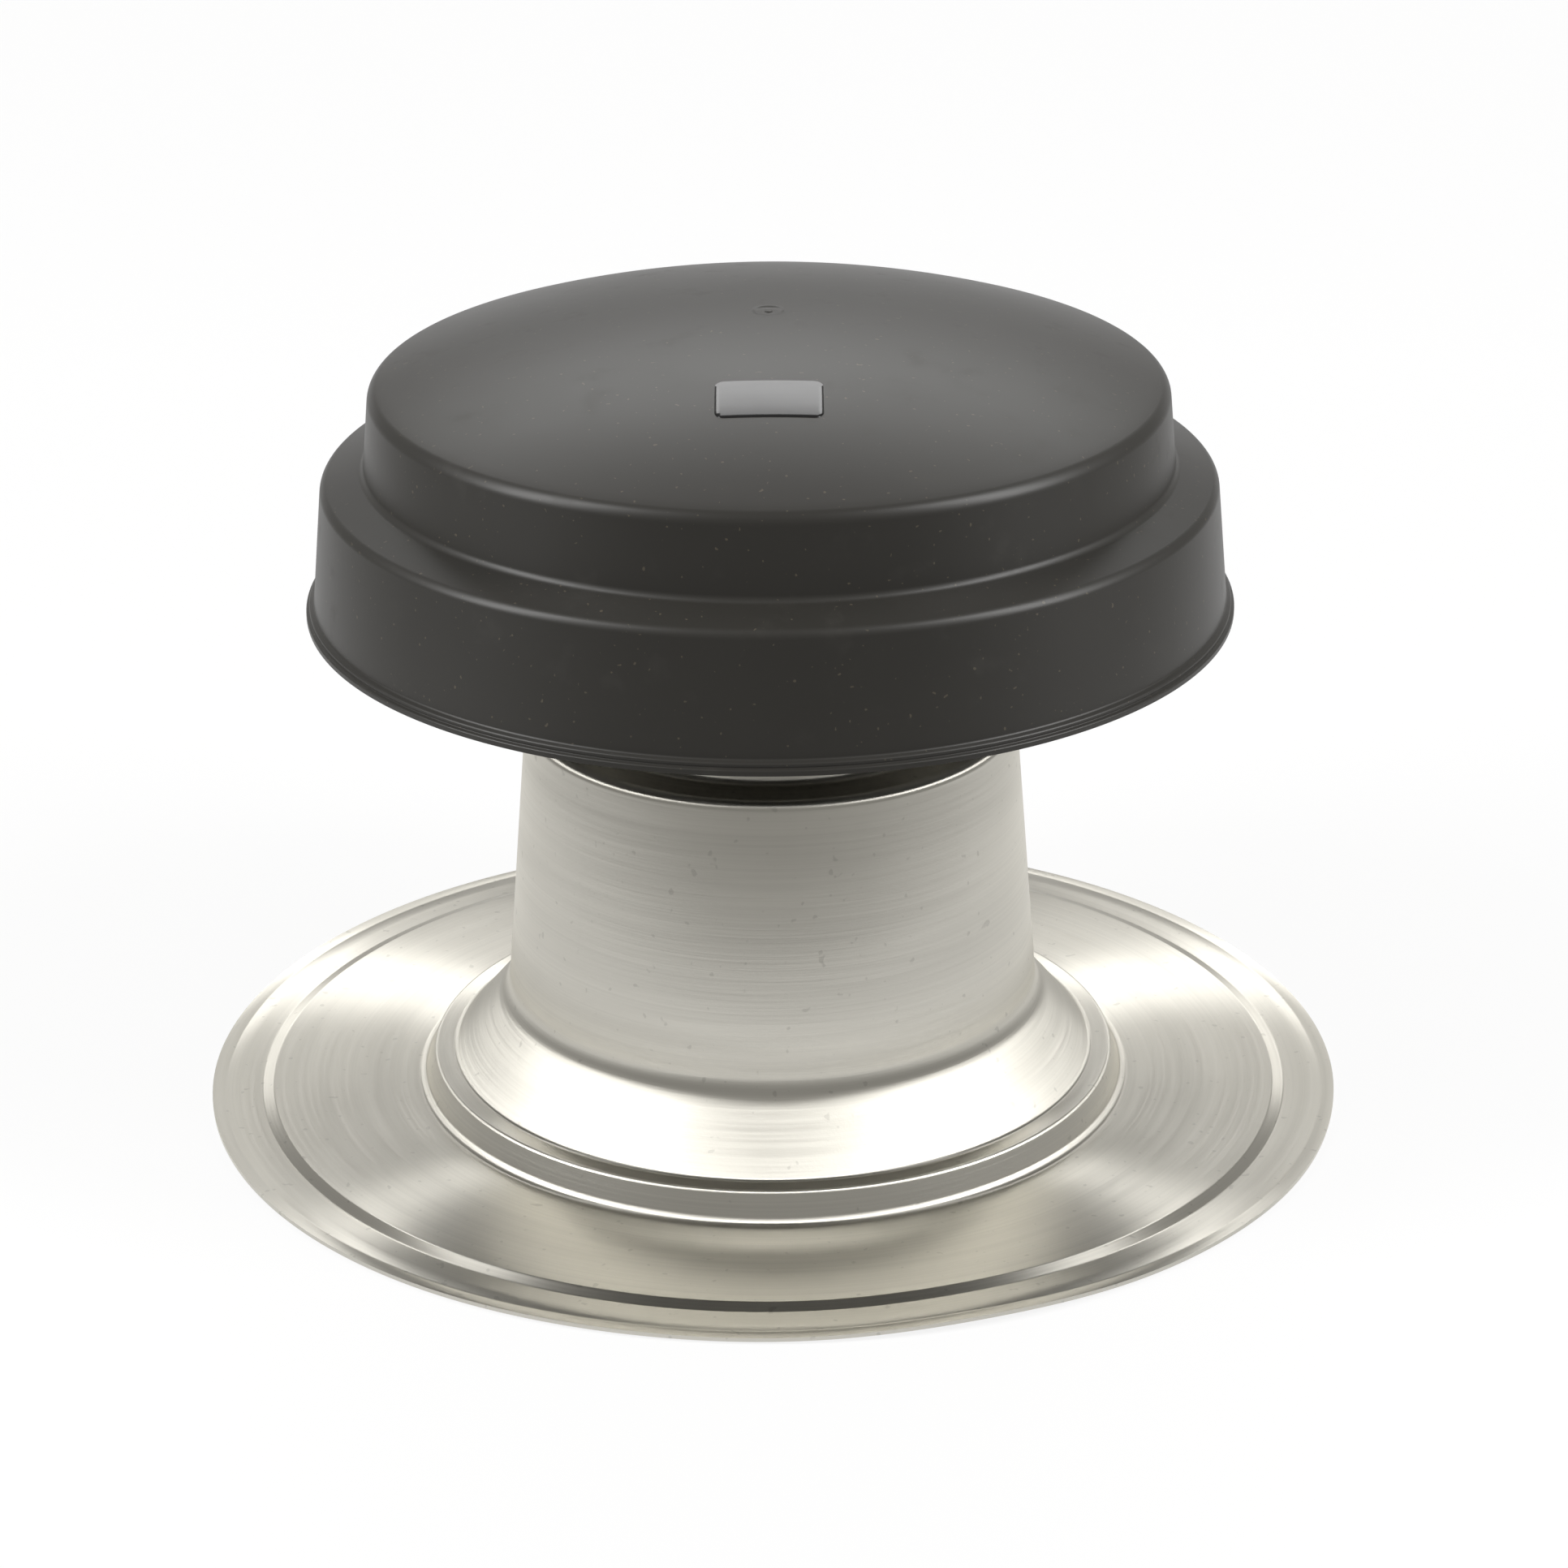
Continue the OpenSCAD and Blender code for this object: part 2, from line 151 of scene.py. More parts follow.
class Finishes(bpy.types.PropertyGroup):
    """Colours and finishes."""

    aluminium: colour("Aluminium", "Colour of the spun sheet", (0.66, 0.64, 0.58))
    aluminium_rough: share("Aluminium roughness", "Roughness of the spun sheet", 0.40)
    plastic: colour("Plastic", "Colour of the cap", (0.020, 0.0185, 0.0155))
    plastic_rough: share("Plastic roughness", "Roughness of the cap", 0.42)
    plate: colour("Plate", "Colour of the bare plate", (0.006, 0.006, 0.006))
    steel: colour("Steel", "Colour of the brackets and screws", (0.58, 0.58, 0.57))
    guard: colour("Guard", "Colour of the bird guard", (0.022, 0.022, 0.021))
    floor: colour("Floor", "Colour of the floor", (0.8, 0.8, 0.8))


def settings():
    """The panel's property groups."""
    return bpy.context.scene.roof_vent_base, bpy.context.scene.roof_vent_cap, bpy.context.scene.roof_vent_looks


# Outlines: lists of corners (radius, height, rounding), as in the part's own drawing


def arc(mid, radius, start, end, steps):
    """Points of an arc round a middle."""
    turns = [start + (end - start) * i / steps for i in range(steps + 1)]
    return [mid + radius * Vector((math.cos(t), math.sin(t))) for t in turns]


def fillet(before, corner, after, radius):
    """A tangent arc that replaces a corner."""
    to_before, to_after = (before - corner).normalized(), (after - corner).normalized()
    half = math.acos(max(-1, min(1, to_before.dot(to_after)))) / 2
    mid = corner + (to_before + to_after).normalized() * radius / math.sin(half)
    first = corner + to_before * radius / math.tan(half) - mid
    last = corner + to_after * radius / math.tan(half) - mid
    sweep = math.copysign(math.pi - 2 * half, first.x * last.y - first.y * last.x)
    start = math.atan2(first.y, first.x)
    return arc(mid, radius, start, start + sweep, ARC_STEPS)


def rounded(path):
    """Points of a path with each stated rounding."""
    flat = [Vector(corner[:2]) for corner in path]
    points = []
    for i, corner in enumerate(path):
        if i in (0, len(path) - 1) or corner[2] <= 0:
            points.append(flat[i])
        else:
            points += fillet(flat[i - 1], flat[i], flat[i + 1], corner[2])
    return points


def shifted(path, aside):
    """A path moved to its left, with its roundings kept concentric."""
    flat = [Vector(corner[:2]) for corner in path]
    last = len(path) - 1
    moved = []
    for i, corner in enumerate(path):
        before = flat[max(i, 1)] - flat[max(i, 1) - 1]
        after = flat[min(i + 1, last)] - flat[min(i, last - 1)]
        left_before = Vector((-before.y, before.x)).normalized()
        left_after = Vector((-after.y, after.x)).normalized()
        way = (left_before + left_after).normalized()
        place = flat[i] + way * aside / way.dot(left_before)
        bend = before.x * after.y - before.y * after.x
        inner = max(0, corner[2] - math.copysign(aside, bend)) if corner[2] > 0 else 0
        moved.append((place.x, place.y, inner))
    return moved


# Modelling


def only(piece):
    """Selects one piece and nothing else."""
    bpy.ops.object.select_all(action="DESELECT")
    piece.select_set(True)
    bpy.context.view_layer.objects.active = piece


def edit(piece):
    """Opens a piece in edit mode, with nothing selected."""
    only(piece)
    bpy.ops.object.mode_set(mode="EDIT")
    bpy.ops.mesh.select_all(action="DESELECT")
    return bmesh.from_edit_mesh(piece.data)


def leave(piece):
    """Leaves edit mode and puts the piece's place in its mesh."""
    bpy.ops.object.mode_set(mode="OBJECT")
    only(piece)
    bpy.ops.object.transform_apply(location=True, rotation=True, scale=True)
    return piece


def pick(piece, test, kind="verts"):
    """Selects what passes a test in edit mode, and says how much that is."""
    mesh = bmesh.from_edit_mesh(piece.data)
    for item in mesh.verts:
        item.select = False
    for item in mesh.edges:
        item.select = False
    for item in mesh.faces:
        item.select = False
    found = [item for item in getattr(mesh, kind) if test(item)]
    for item in found:
        item.select = True
    mesh.select_flush(True)
    bmesh.update_edit_mesh(piece.data)
    return len(found)


def drawn(name, outline, closed, aside=0.0):
    """Draws an outline point by point in an upright plane, and stays in edit mode."""
    bpy.ops.object.select_all(action="DESELECT")
    bpy.ops.mesh.primitive_plane_add(size=1 * MM, location=(outline[0].x, aside, outline[0].y))
    piece = bpy.context.object
    piece.name = piece.data.name = name
    bpy.ops.object.transform_apply(location=True)
    bpy.ops.object.mode_set(mode="EDIT")
    bpy.ops.mesh.select_all(action="SELECT")
    bpy.ops.mesh.merge(type="CENTER")
    for before, after in zip(outline, outline[1:]):
        step = after - before
        bpy.ops.mesh.extrude_vertices_move(TRANSFORM_OT_translate={"value": (step.x, 0, step.y)})
    if closed:
        ends = [Vector((p.x, aside, p.y)) for p in (outline[0], outline[-1])]
        pick(piece, lambda v: min((v.co - e).length for e in ends) < 1e-6)
        bpy.ops.mesh.edge_face_add()
    bpy.ops.mesh.select_all(action="SELECT")
    return piece


def turned(name, outline, closed, steps=TURN_STEPS):
    """Spins an outline round Z."""
    piece = drawn(name, outline, closed)
    bpy.ops.mesh.spin(steps=steps, angle=2 * math.pi, center=(0, 0, 0), axis=(0, 0, 1))
    bpy.ops.mesh.select_all(action="SELECT")
    bpy.ops.mesh.remove_doubles(threshold=2e-6)
    bpy.ops.mesh.normals_make_consistent(inside=False)
    return leave(piece)


def plate(name, outline, thick):
    """A flat plate that stands along X, from its outline."""
    piece = drawn(name, outline, True, -thick / 2)
    bpy.ops.mesh.edge_face_add()
    bpy.ops.mesh.extrude_region_move(TRANSFORM_OT_translate={"value": (0, thick, 0)})
    bpy.ops.mesh.select_all(action="SELECT")
    bpy.ops.mesh.normals_make_consistent(inside=False)
    return leave(piece)


def copied(piece, turn):
    """A copy with its own mesh, turned about Z."""
    only(piece)
    bpy.ops.object.duplicate()
    copy = bpy.context.object
    copy.rotation_euler.z = turn
    return leave(copy)


def joined(piece, others):
    """Makes the others part of a piece."""
    only(piece)
    for other in others:
        other.select_set(True)
    bpy.ops.object.join()


def smooth(piece, degrees=32):
    """Shades a piece smooth, apart from its sharp edges."""
    only(piece)
    bpy.ops.object.shade_smooth_by_angle(angle=math.radians(degrees))


def apply(piece, kind, **values):
    """Adds a modifier and applies it."""
    only(piece)
    modifier = piece.modifiers.new(kind.lower(), kind)
    for key, value in values.items():
        setattr(modifier, key, value)
    bpy.ops.object.modifier_apply(modifier=modifier.name)


def finished(piece, material):
    """Gives a new piece its material, slot and body."""
    piece.data.materials.clear()
    piece.data.materials.append(material)
    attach(piece, BODY)
    return piece


def dress(node, material):
    """Gives a carried-over solid its material."""
    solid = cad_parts[node]
    solid.data.materials.clear()
    solid.data.materials.append(material)


# Materials


class Expr:
    """A socket that Python's operators work on."""

    def __init__(self, mat, socket):
        self.mat = mat
        self.socket = socket

    def _math(self, operation, *values):
        return self.mat.node("ShaderNodeMath", {"operation": operation}, dict(enumerate(values)))

    def __add__(self, other):
        return self._math("ADD", self, other)

    def __radd__(self, other):
        return self._math("ADD", other, self)

    def __sub__(self, other):
        return self._math("SUBTRACT", self, other)

    def __rsub__(self, other):
        return self._math("SUBTRACT", other, self)

    def __mul__(self, other):
        return self._math("MULTIPLY", self, other)

    def __rmul__(self, other):
        return self._math("MULTIPLY", other, self)

    def __truediv__(self, other):
        return self._math("DIVIDE", self, other)

    def __rtruediv__(self, other):
        return self._math("DIVIDE", other, self)

    def __neg__(self):
        return self._math("MULTIPLY", self, -1)

    def __pow__(self, other):
        return self._math("POWER", self, other)

    def call(self, operation, *values):
        """Any other math operation on this value."""
        return self._math(operation, self, *values)

    def limit(self, low, high, out_low=0.0, out_high=1.0):
        """This value mapped smoothly from one range to another."""
        return self.mat.node(
            "ShaderNodeMapRange",
            {"interpolation_type": "SMOOTHSTEP"},
            {"Value": self, "From Min": low, "From Max": high, "To Min": out_low, "To Max": out_high},
        )

    def band(self, low, high, soft):
        """One between two values, falling to zero over a soft width."""
        return self.limit(low - soft, low) * self.limit(high, high + soft, 1.0, 0.0)


class Finish:
    """A material that is written as expressions."""

    def __init__(self, name):
        self.material = bpy.data.materials.new(name)
        self.material.use_nodes = True
        self.tree = self.material.node_tree
        self.shader = self.tree.nodes["Principled BSDF"]
        coords = self.tree.nodes.new("ShaderNodeTexCoord")
        self.place = Expr(self, coords.outputs["Object"])
        split = self.tree.nodes.new("ShaderNodeSeparateXYZ")
        self.tree.links.new(coords.outputs["Object"], split.inputs[0])
        self.x, self.y, self.z = (Expr(self, split.outputs[i]) for i in range(3))

    def node(self, kind, settings=None, sockets=None, out=0):
        """Adds a node, sets its settings and sockets, and returns one output."""
        made = self.tree.nodes.new(kind)
        for key, value in (settings or {}).items():
            if key == "stops":
                ramp = made.color_ramp
                while len(ramp.elements) < len(value):
                    ramp.elements.new(0.5)
                for stop, (at, tone) in zip(ramp.elements, value):
                    stop.position = at
                    stop.color = (*tone, 1)
            else:
                setattr(made, key, value)
        for key, value in (sockets or {}).items():
            socket = made.inputs[key]
            if isinstance(value, Expr):
                self.tree.links.new(value.socket, socket)
            else:
                socket.default_value = value
        return Expr(self, made.outputs[out])

    def vector(self, x, y, z):
        """A vector from three values."""
        return self.node("ShaderNodeCombineXYZ", None, {0: x, 1: y, 2: z})

    def noise(self, at, scale, detail=2.0, rough=0.5, distortion=0.0):
        """Noise from 0 to 1 at a place."""
        return self.node(
            "ShaderNodeTexNoise",
            {"noise_dimensions": "3D"},
            {"Vector": at, "Scale": scale, "Detail": detail, "Roughness": rough, "Distortion": distortion},
        )

    def mix(self, factor, first, second):
        """Mixes two colours."""
        made = self.tree.nodes.new("ShaderNodeMix")
        made.data_type = "RGBA"
        for socket, value in ((made.inputs[0], factor), (made.inputs[6], first), (made.inputs[7], second)):
            if isinstance(value, Expr):
                self.tree.links.new(value.socket, socket)
            else:
                socket.default_value = value if isinstance(value, float) else (*value, 1)
        return Expr(self, made.outputs[2])

    def bump(self, height, strength, distance):
        """Normals from a height."""
        return self.node(
            "ShaderNodeBump", None, {"Height": height, "Strength": strength, "Distance": distance}
        )

    def surface(self, **values):
        """Sets the shader's sockets, and returns the material."""
        for key, value in values.items():
            socket = self.shader.inputs[key.replace("_", " ")]
            if isinstance(value, Expr):
                self.tree.links.new(value.socket, socket)
            else:
                socket.default_value = (*value, 1) if isinstance(value, tuple) and len(value) == 3 else value
        return self.material


def times(tone, factor):
    """A colour made lighter or darker."""
    return tuple(min(1.0, c * factor) for c in tone)


def spun_aluminium(looks):
    """Spun sheet: fine rings round the axis, streaks, pits and grain on the steep parts."""
    mat = Finish("spun aluminium")
    radius = (mat.x * mat.x + mat.y * mat.y).call("SQRT")
    # Runs along the sheet's section from the rim to the collar's edge
    along = mat.z - radius
    round_x, round_y = mat.x / radius, mat.y / radius

    def rings(per_metre, reach, seed=0.0, detail=2.0):
        at = mat.vector(round_x * reach + seed, round_y * reach, along * per_metre)
        return mat.noise(at, 1.0, detail, 0.55)

    fine = rings(1500.0, 2.4)
    middle = rings(420.0, 1.1, 3.1)
    broad = rings(70.0, 0.7, 7.7, 1.0)
    streak = rings(900.0, 0.55, 5.3, 3.0)
    grain = mat.noise(mat.place, 900.0, 2.0, 0.6)
    patch = mat.noise(mat.place, 18.0, 3.0, 0.55)
    pits = mat.noise(mat.place, 260.0, 1.0, 0.5).limit(0.70, 0.76)
    cone = mat.z.band(0.0165, 0.034, 0.004)
    ramp = radius.band(0.1295, 0.1345, 0.0015)
    steep = (cone + ramp).call("MINIMUM", 1.0)
    rough = (
        looks.aluminium_rough
        + 0.12 * (streak - 0.5)
        + 0.10 * (middle - 0.5)
        + 0.08 * (patch - 0.5)
        - 0.06 * steep
    )
    tone = 0.5 + 0.9 * (streak - 0.5) + 0.7 * (broad - 0.5) + 0.5 * (patch - 0.5)
    base = mat.mix(tone, times(looks.aluminium, 0.86), times(looks.aluminium, 1.10))
    base = mat.mix(pits * 0.35, base, times(looks.aluminium, 0.55))
    height = fine * 0.5 + middle * 0.9 + streak * 0.4 + grain * (0.15 + 0.9 * steep)
    normal = mat.bump(height, 0.35, 0.00006)
    return mat.surface(
        Base_Color=base,
        Metallic=1.0,
        Roughness=rough,
        Anisotropic=1.0,
        Anisotropic_Rotation=0.0,
        Normal=normal,
    )


def cap_plastic(looks):
    """Moulded black plastic: a fine grain, soft cloudiness, dust specks and a few rubbed places."""
    mat = Finish("cap plastic")
    grain = mat.noise(mat.place, 1400.0, 2.0, 0.6)
    cloud = mat.noise(mat.place, 9.0, 3.0, 0.6)
    rubbed = mat.noise(mat.place, 55.0, 4.0, 0.65).limit(0.56, 0.74)
    dust = mat.noise(mat.place, 620.0, 0.0, 0.5).limit(0.80, 0.84)
    base = mat.mix(cloud, times(looks.plastic, 0.85), times(looks.plastic, 1.2))
    base = mat.mix(rubbed * 0.25, base, times(looks.plastic, 1.8))
    base = mat.mix(dust * 0.5, base, (0.12, 0.10, 0.07))
    rough = looks.plastic_rough + 0.10 * (cloud - 0.5) + 0.05 * rubbed
    normal = mat.bump(grain, 0.12, 0.00008)
    return mat.surface(Base_Color=base, Roughness=rough, Normal=normal, IOR=1.5)


def gloss_plate(looks):
    """Glossy dark plate with faint marks."""
    mat = Finish("gloss plate")
    cloud = mat.noise(mat.place, 60.0, 3.0, 0.6)
    marks = mat.noise(mat.vector(mat.x * 40.0, mat.y * 400.0, mat.z), 1.0, 2.0, 0.5)
    base = mat.mix(cloud, times(looks.plate, 0.8), times(looks.plate, 1.3))
    rough = 0.16 + 0.08 * (cloud - 0.5) + 0.05 * (marks - 0.5)
    return mat.surface(Base_Color=base, Roughness=rough, Normal=mat.bump(cloud, 0.03, 0.0001))


def bracket_steel(looks):
    """Zinc-plated strip: spangle and fine rolling lines."""
    mat = Finish("bracket steel")
    spangle = mat.node(
        "ShaderNodeTexVoronoi", {"feature": "F1"}, {"Vector": mat.place, "Scale": 160.0, "Randomness": 1.0}, 1
    )
    facets = mat.node("ShaderNodeSeparateColor", None, {0: spangle})
    rolled = mat.noise(mat.vector(mat.x * 60.0, mat.y * 60.0, mat.z * 1500.0), 1.0, 2.0, 0.5)
    base = mat.mix(facets, times(looks.steel, 0.82), times(looks.steel, 1.12))
    rough = 0.34 + 0.14 * (facets - 0.5) + 0.08 * (rolled - 0.5)
    return mat.surface(Base_Color=base, Metallic=1.0, Roughness=rough, Normal=mat.bump(rolled, 0.1, 0.00005))


def fastener_steel(looks):
    """Turned and tumbled small parts."""
    mat = Finish("fastener steel")
    tumble = mat.noise(mat.place, 700.0, 3.0, 0.6)
    tarnish = mat.noise(mat.place, 120.0, 3.0, 0.6)
    base = mat.mix(tarnish, times(looks.steel, 0.8), times(looks.steel, 1.15))
    rough = 0.27 + 0.16 * (tumble - 0.5)
    return mat.surface(Base_Color=base, Metallic=1.0, Roughness=rough, Normal=mat.bump(tumble, 0.15, 0.00004))


def rivet_aluminium(looks):
    """Drawn rivets, duller than the sheet."""
    mat = Finish("rivet aluminium")
    drawn = mat.noise(mat.place, 900.0, 2.0, 0.6)
    stain = mat.noise(mat.place, 90.0, 2.0, 0.6)
    base = mat.mix(stain, times(looks.aluminium, 0.9), times(looks.aluminium, 1.15))
    rough = 0.38 + 0.14 * (drawn - 0.5)
    return mat.surface(Base_Color=base, Metallic=1.0, Roughness=rough, Normal=mat.bump(drawn, 0.1, 0.00004))


def guard_plastic(looks):
    """Matte moulded plastic of the bird guard."""
    mat = Finish("guard plastic")
    grain = mat.noise(mat.place, 1100.0, 2.0, 0.6)
    cloud = mat.noise(mat.place, 30.0, 2.0, 0.5)
    base = mat.mix(cloud, times(looks.guard, 0.8), times(looks.guard, 1.3))
    rough = 0.55 + 0.1 * (cloud - 0.5)
    return mat.surface(Base_Color=base, Roughness=rough, Normal=mat.bump(grain, 0.2, 0.00008))


# Shapes


def base_path(base):
    """Corners of the sheet's upper face, from the rim to under the rolled edge."""
    rim_r, foot_r = base.flange_d / 2, base.foot_d / 2
    step_r = rim_r - base.rim_w
    plateau_z = base.sheet_t + base.rim_step_h
    band_r = foot_r - base.foot_band_w
    slope, taper = math.tan(base.cone_angle), math.tan(base.neck_taper)
    cone_z = (band_r + base.foot_h / slope - base.neck_d / 2) / (1 / slope - taper)
    collar_r = base.bore_r + base.sheet_t

    def neck_r(z):
        return base.neck_d / 2 - z * taper

    line_r, line_w = rim_r - base.rim_line_in, base.rim_line_w
    plain = [step_r + (foot_r - step_r) * share for share in (0.25, 0.4, 0.55, 0.7)]
    return [
        (rim_r, base.sheet_t, 0),
        (line_r + line_w, base.sheet_t, 0),
        (line_r, base.sheet_t - base.rim_line_deep, 0),
        (line_r - line_w, base.sheet_t, 0),
        (step_r + 0.4 * base.rim_w, base.sheet_t, 0),
        (step_r, base.sheet_t, 3 * MM),
        (step_r - base.rim_step_run, plateau_z, 2.5 * MM),
        *[(r, plateau_z, 0) for r in plain],
        (foot_r + base.foot_run, plateau_z, 4 * MM),
        (foot_r, base.foot_h, 1.7 * MM),
        (band_r, base.foot_h, 3 * MM),
        (neck_r(cone_z), cone_z, 22 * MM),
        (neck_r(base.neck_h), base.neck_h, 4.5 * MM),
        (collar_r, base.neck_h + base.shoulder_rise, 4 * MM),
        (collar_r, base.stop_z - base.stop_run, 2 * MM),
        (collar_r - base.stop_deep, base.stop_z, 2 * MM),
        (collar_r, base.stop_z + base.stop_run, 2 * MM),
        (collar_r, base.collar_h - base.roll_r, 0),
    ]


def base_outline(base):
    """The whole sheet's section, with its edge curled outwards."""
    path = base_path(base)
    outside = rounded(path)
    inside = rounded(shifted(path, base.sheet_t))
    mid = Vector((base.bore_r + base.roll_r, base.collar_h - base.roll_r))
    curl_in = arc(mid, base.roll_r - base.sheet_t, math.pi, -math.pi / 2, 18)
    curl_out = arc(mid, base.roll_r, -math.pi / 2, math.pi, 24)
    return outside[:-1] + curl_in + curl_out + inside[::-1][1:]


def hill(turn, middle, width):
    """One at an angle, falling away on both sides; all in degrees."""
    return math.exp(-(((turn - middle) / width) ** 2))


def warp_rim(piece, base):
    """Bends the flange's edge a little out of flat, as handling leaves it."""
    still_r, rim_r = base.foot_d / 2 + 2 * base.foot_run, base.flange_d / 2
    for vertex in piece.data.vertices:
        r = math.hypot(vertex.co.x, vertex.co.y)
        if r <= still_r:
            continue
        turn = math.degrees(math.atan2(vertex.co.y, vertex.co.x))
        reach = ((r - still_r) / (rim_r - still_r)) ** 2
        lift = base.warp_up * (hill(turn, -70, 15) + 0.3 * hill(turn, -105, 20) + 0.06 * hill(turn, 140, 30))
        spread = base.warp_out * hill(turn, -29, 13) * reach / rim_r
        vertex.co.z += lift * reach
        vertex.co.x *= 1 + spread
        vertex.co.y *= 1 + spread


class VENT_OT_spun_base(bpy.types.Operator):
    """Spin the aluminium base from its section"""

    bl_idname = "vent.spun_base"
    bl_label = "Spun base"

    def execute(self, context):
        base, _, looks = settings()
        piece = turned("spun_sheet", base_outline(base), True)
        warp_rim(piece, base)
        smooth(piece)
        finished(piece, spun_aluminium(looks))
        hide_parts("spun_base")
        return {"FINISHED"}


def cap_paths(cap):
    """The dome's and the sides' geometry."""
    cap_r = cap.cap_d / 2
    lip_z = cap.rim_h + cap.lip_h
    skirt_z = cap.rim_h + cap.skirt_h
    ledge_z = skirt_z + cap.ledge_rise
    corner_z = ledge_z + cap.tier_h
    draft = math.tan(cap.draft)
    skirt_low_r = cap_r - cap.lip_w
    skirt_top_r = skirt_low_r - (skirt_z - lip_z) * draft
    tier_low_r = skirt_top_r - cap.ledge_w
    tier_top_r = tier_low_r - cap.tier_h * draft
    dome_r = (tier_top_r**2 + cap.dome_rise**2) / (2 * cap.dome_rise)
    dome_mid = Vector((0, corner_z + cap.dome_rise - dome_r))
    up = Vector((-math.sin(cap.draft), math.cos(cap.draft)))
    out = Vector((math.cos(cap.draft), math.sin(cap.draft)))
    corner = Vector((tier_top_r, corner_z))
    start = corner - cap.edge_r * out - dome_mid
    lift = -start.dot(up) + math.sqrt(start.dot(up) ** 2 - start.dot(start) + (dome_r - cap.edge_r) ** 2)
    edge_mid = corner - cap.edge_r * out + lift * up
    edge_angle = math.atan2(edge_mid.y - dome_mid.y, edge_mid.x)
    first = edge_mid + cap.edge_r * out
    sides = [
        (first.x, first.y, 0),
        (tier_low_r, ledge_z, 3 * MM),
        (skirt_top_r, skirt_z, 4 * MM),
        (skirt_low_r, lip_z, 1 * MM),
    ]
    ridge_z = cap.rim_h + 0.5 * cap.lip_h
    lip = [
        (cap_r - 0.35 * cap.lip_w, lip_z - 0.2 * cap.lip_h, 0.8 * MM),
        (cap_r - 0.45 * cap.lip_w, ridge_z, 0.3 * MM),
        (cap_r, ridge_z - 0.12 * cap.lip_h, 0.6 * MM),
        (cap_r, cap.rim_h, 0),
    ]
    return dome_mid, dome_r, edge_mid, edge_angle, sides, lip, ledge_z, skirt_z, skirt_low_r, lip_z


def cap_outline(cap):
    """The cap's section: dimple, dome, sides and lip outside, plain wall inside."""
    dome_mid, dome_r, edge_mid, edge_angle, sides, lip, _, _, skirt_low_r, lip_z = cap_paths(cap)
    top_z = dome_mid.y + dome_r
    dish_r, nub_r = cap.gate_d / 2, cap.gate_d / 10
    low = top_z - cap.gate_deep
    dimple = [
        Vector((0, low + 0.5 * MM)),
        Vector((nub_r * 0.7, low + 0.5 * MM)),
        Vector((nub_r, low + 0.3 * MM)),
        Vector((nub_r * 1.2, low + 0.05 * MM)),
        Vector((nub_r * 2.2, low)),
        Vector((dish_r - 1.6 * MM, low)),
        Vector((dish_r - 1.1 * MM, low + 0.08 * MM)),
        Vector((dish_r - 0.5 * MM, low + 0.42 * MM)),
        Vector((dish_r, top_z - 0.06 * MM)),
    ]
    start = math.pi / 2 - math.asin((dish_r + 0.5 * MM) / dome_r)
    outside = dimple + arc(dome_mid, dome_r, start, edge_angle, DOME_STEPS)
    outside += arc(edge_mid, cap.edge_r, edge_angle, cap.draft, ARC_STEPS)[1:]
    outside += rounded(sides + lip)[1:]
    inner_rim = skirt_low_r + (lip_z - cap.rim_h) * math.tan(cap.draft) - cap.wall / math.cos(cap.draft)
    inside = [Vector((inner_rim, cap.rim_h))]
    inside += rounded(shifted(sides, -cap.wall))[::-1][1:]
    inside += arc(edge_mid, cap.edge_r - cap.wall, cap.draft, edge_angle, ARC_STEPS)[1:]
    inside += arc(dome_mid, dome_r - cap.wall, edge_angle, math.pi / 2, DOME_STEPS)[1:]
    return outside + inside


def cap_hub(cap):
    """The ring under the dome's middle, and the ribs' outline that meets it."""
    dome_mid, dome_r, edge_mid, edge_angle, sides, _, ledge_z, _, _, _ = cap_paths(cap)
    mid_r, low_r = dome_r - cap.wall / 2, dome_r - cap.wall - cap.rib_deep
    outer, inner = cap.gate_d, cap.gate_d - cap.rib_t

    def height(radius, r):
        return dome_mid.y + math.sqrt(radius**2 - r**2)

    ring = [
        Vector((inner, height(low_r, inner))),
        Vector((outer, height(low_r, outer))),
        Vector((outer, height(mid_r, outer))),
        Vector((inner, height(mid_r, inner))),
    ]
    start = (inner + outer) / 2
    foot_z = ledge_z + cap.rib_deep
    side_r = sides[1][0] - (foot_z - ledge_z) * math.tan(cap.draft)
    turn_r = sides[0][0] - cap.wall - cap.rib_deep
    rib = arc(dome_mid, mid_r, math.pi / 2 - math.asin(start / mid_r), edge_angle, DOME_STEPS // 2)
    rib += arc(edge_mid, cap.edge_r - cap.wall / 2, edge_angle, cap.draft, ARC_STEPS)[1:]
    rib += [Vector((side_r - cap.wall / 2, foot_z)), Vector((side_r - cap.wall - 0.4 * MM, foot_z))]
    rib += arc(dome_mid, low_r, math.acos(turn_r / low_r), math.pi / 2 - math.asin(start / low_r), DOME_STEPS // 2)
    return ring, rib


